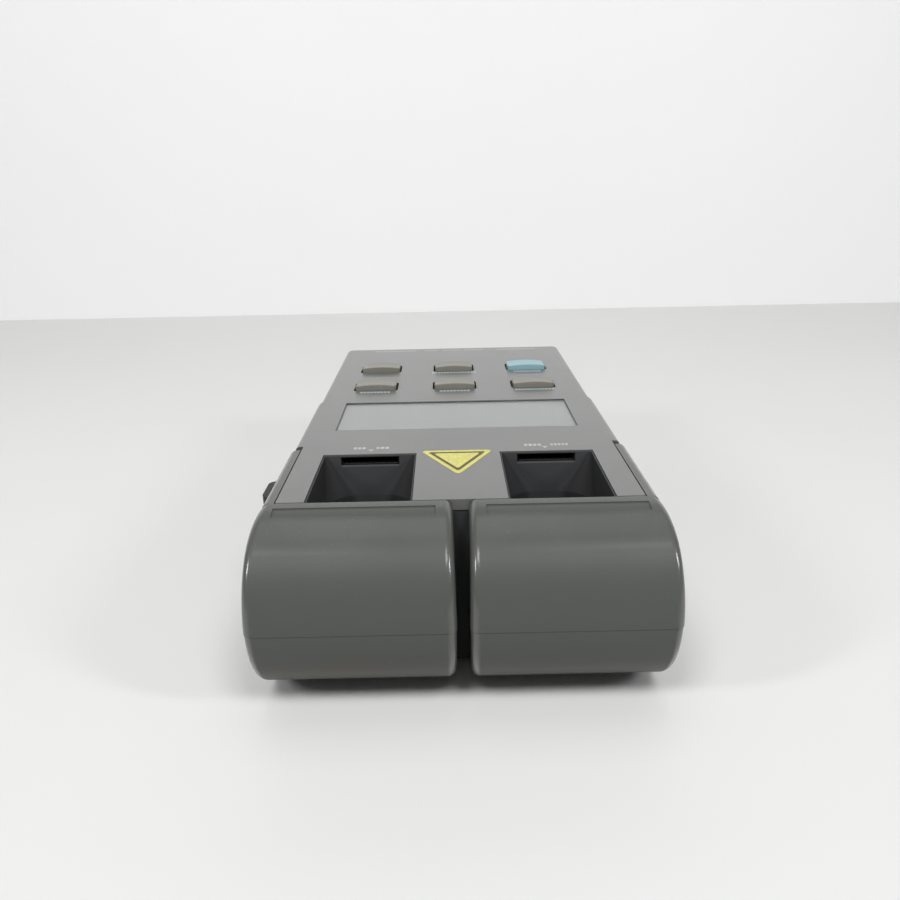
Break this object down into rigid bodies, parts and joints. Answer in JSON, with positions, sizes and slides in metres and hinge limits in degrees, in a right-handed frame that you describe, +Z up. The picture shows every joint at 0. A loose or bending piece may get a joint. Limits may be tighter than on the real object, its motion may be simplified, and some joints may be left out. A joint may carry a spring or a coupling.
{
  "type": "optical power meter",
  "caption": "Hand-held grey optical power meter with display, keys, open plug-in bays and round nose covers that swing up on side arms.",
  "frame": {"origin": "under the middle of the whole part's box, on the surface it rests on", "axes": "+X across to the right seen from the nose, +Y from the nose covers to the keypad end, +Z up through the top face"},
  "size_m": [0.108, 0.1934, 0.0504],
  "materials": {
    "case_grey": "fine moulded texture, mid grey",
    "cover_grey": "satin moulded, darker grey, lightly scuffed",
    "bay_black": "matt charcoal",
    "socket_black": "matt black",
    "contact_brass": "dull plated",
    "window_clear": "clear, glossy",
    "frame_black": "matt black",
    "lcd_glass": "pale grey, blank",
    "strip_rubber": "soft",
    "mat_rubber": "soft, translucent grey",
    "board_green": "glass-fibre board with green lacquer",
    "chip_black": "matt black",
    "screw_steel": "zinc plated",
    "pivot_black": "blackened",
    "insert_brass": "turned",
    "cell_sleeve": "plain printed sleeve over a cell",
    "contact_steel": "nickel plated",
    "foot_rubber": "matt black",
    "lug_black": "matt black",
    "lug_screw_steel": "blackened",
    "key_grey": "warm grey, smooth",
    "key_blue": "pale blue, smooth"
  },
  "bodies": {
    "housing": {"upper_case": "case_grey", "lower_case": "case_grey", "bay_moulding": "bay_black", "left_bay_connector": "socket_black", "right_bay_connector": "socket_black", "left_bay_contacts": "contact_brass", "right_bay_contacts": "contact_brass", "lcd_window": "window_clear", "lcd_frame": "frame_black", "lcd_panel": "lcd_glass", "lcd_contact_strips": "strip_rubber", "key_mat": "mat_rubber", "main_board": "board_green", "board_chips": "chip_black", "buzzer": "chip_black", "board_screws": "screw_steel", "case_screws": "screw_steel", "bay_screws": "screw_steel", "pivot_screws": "pivot_black", "pivot_inserts": "insert_brass", "batteries": "cell_sleeve", "battery_contacts_left": "contact_steel", "battery_contacts_right": "contact_steel", "rubber_feet": "foot_rubber", "strap_lug": "lug_black", "lug_screws": "lug_screw_steel"},
    "left_cover": {"left_cover": "cover_grey"},
    "right_cover": {"right_cover": "cover_grey"},
    "battery_door": {"battery_door": "case_grey"},
    "front_left_key": {"front_left_key": "key_grey"},
    "front_middle_key": {"front_middle_key": "key_grey"},
    "front_right_key": {"front_right_key": "key_grey"},
    "rear_left_key": {"rear_left_key": "key_grey"},
    "rear_middle_key": {"rear_middle_key": "key_grey"},
    "blue_key": {"blue_key": "key_blue"}
  },
  "joints": [
    {"name": "left_cover_hinge", "type": "hinge", "parent": "housing", "child": "left_cover", "pos_m": [-0.04473, -0.03835, 0.0437], "axis": [-1, 0, 0], "range_deg": [0, 95]},
    {"name": "right_cover_hinge", "type": "hinge", "parent": "housing", "child": "right_cover", "pos_m": [0.05008, -0.03835, 0.0437], "axis": [-1, 0, 0], "range_deg": [0, 95]},
    {"name": "front_left_key_press", "type": "slide", "parent": "housing", "child": "front_left_key", "axis": [0, 0, -1], "range_m": [0, 0.001], "stiffness_N_per_m": 500, "springref_m": -0.0004, "deforming": ["key_mat"]},
    {"name": "front_middle_key_press", "type": "slide", "parent": "housing", "child": "front_middle_key", "axis": [0, 0, -1], "range_m": [0, 0.001], "stiffness_N_per_m": 500, "springref_m": -0.0004, "deforming": ["key_mat"]},
    {"name": "front_right_key_press", "type": "slide", "parent": "housing", "child": "front_right_key", "axis": [0, 0, -1], "range_m": [0, 0.001], "stiffness_N_per_m": 500, "springref_m": -0.0004, "deforming": ["key_mat"]},
    {"name": "rear_left_key_press", "type": "slide", "parent": "housing", "child": "rear_left_key", "axis": [0, 0, -1], "range_m": [0, 0.001], "stiffness_N_per_m": 500, "springref_m": -0.0004, "deforming": ["key_mat"]},
    {"name": "rear_middle_key_press", "type": "slide", "parent": "housing", "child": "rear_middle_key", "axis": [0, 0, -1], "range_m": [0, 0.001], "stiffness_N_per_m": 500, "springref_m": -0.0004, "deforming": ["key_mat"]},
    {"name": "blue_key_press", "type": "slide", "parent": "housing", "child": "blue_key", "axis": [0, 0, -1], "range_m": [0, 0.001], "stiffness_N_per_m": 500, "springref_m": -0.0004, "deforming": ["key_mat"]},
    {"name": "battery_door_slide", "type": "slide", "parent": "housing", "child": "battery_door", "axis": [0, 1, 0], "range_m": [0, 0.074]}
  ]
}
